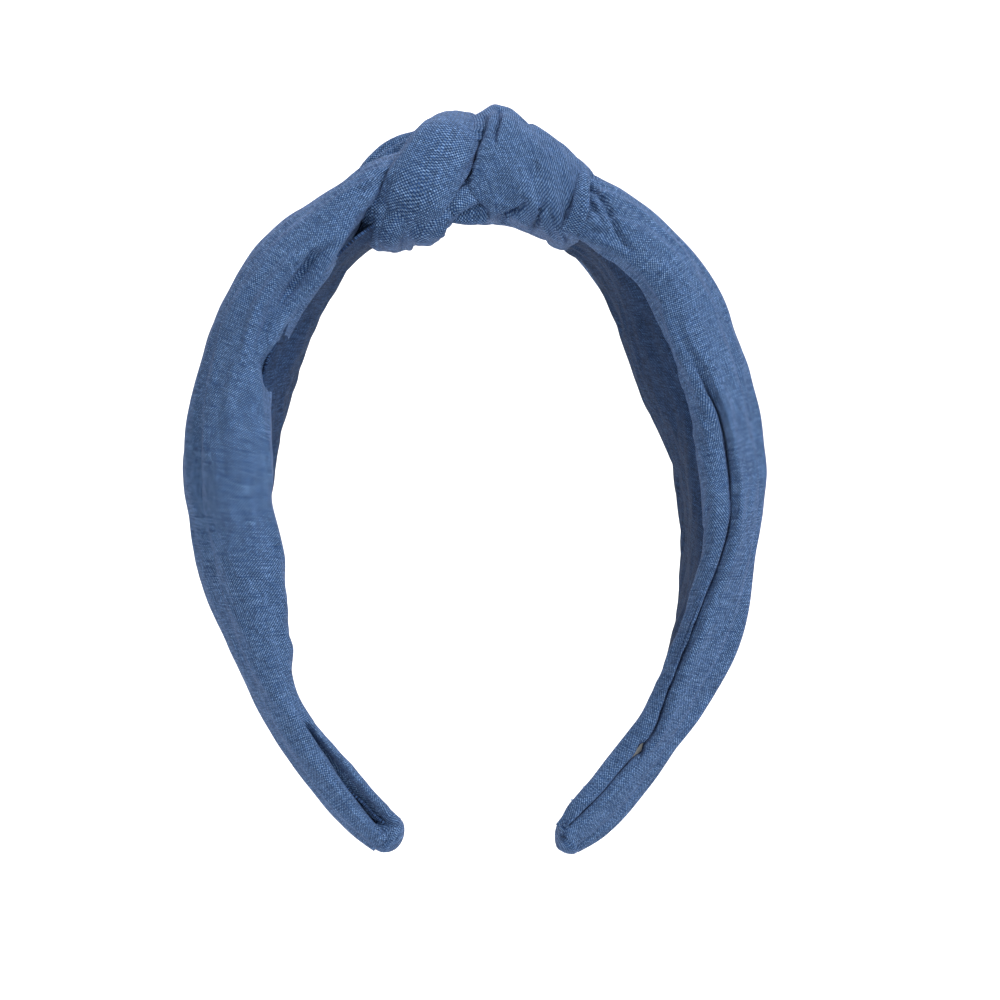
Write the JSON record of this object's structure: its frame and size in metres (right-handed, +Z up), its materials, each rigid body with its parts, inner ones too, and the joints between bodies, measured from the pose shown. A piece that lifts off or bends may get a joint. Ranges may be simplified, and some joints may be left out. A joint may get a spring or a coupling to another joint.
{
  "type": "knotted headband",
  "caption": "Wide fabric-covered headband, an open arch with a tied knot on top and two tapering legs that spring outwards.",
  "frame": {"origin": "middle of the knot's underside, where the headband rests on top of the head", "axes": "+Z up as worn, with the knot on top and the tips down; +X towards the wearer's left leg of the band; -Y towards the front"},
  "size_m": [0.139, 0.0484, 0.1797],
  "materials": {
    "cover_cloth": "woven linen-cotton, mid blue, matt",
    "facing_cloth": "the same cloth in shade, matt",
    "knot_cloth": "woven linen-cotton, mid blue, bunched",
    "stitch_thread": "cotton sewing thread",
    "band_plastic": "moulded, satin"
  },
  "bodies": {
    "crown": {"base_crown": "band_plastic", "crown_facing": "facing_cloth", "knot_core": "knot_cloth", "knot_underside": "knot_cloth", "knot_left_wrap": "knot_cloth", "knot_right_wrap": "knot_cloth", "knot_cinch": "knot_cloth", "knot_back_loop": "knot_cloth"},
    "left_leg": {"base_left_leg": "band_plastic", "left_facing": "facing_cloth", "left_cover": "cover_cloth", "left_tip_tuck": "cover_cloth", "left_tip_stitches": "stitch_thread"},
    "right_leg": {"base_right_leg": "band_plastic", "right_facing": "facing_cloth", "right_cover": "cover_cloth", "right_tip_tuck": "cover_cloth", "right_tip_stitches": "stitch_thread"}
  },
  "joints": [
    {"name": "left_flex", "type": "hinge", "parent": "crown", "child": "left_leg", "pos_m": [-0.03244, 0, -0.00998], "axis": [0, 1, 0], "range_deg": [-5, 12], "stiffness_Nm_per_rad": 4.5},
    {"name": "right_flex", "type": "hinge", "parent": "crown", "child": "right_leg", "pos_m": [0.03244, 0, -0.00998], "axis": [0, -1, 0], "range_deg": [-5, 12], "stiffness_Nm_per_rad": 4.5}
  ]
}
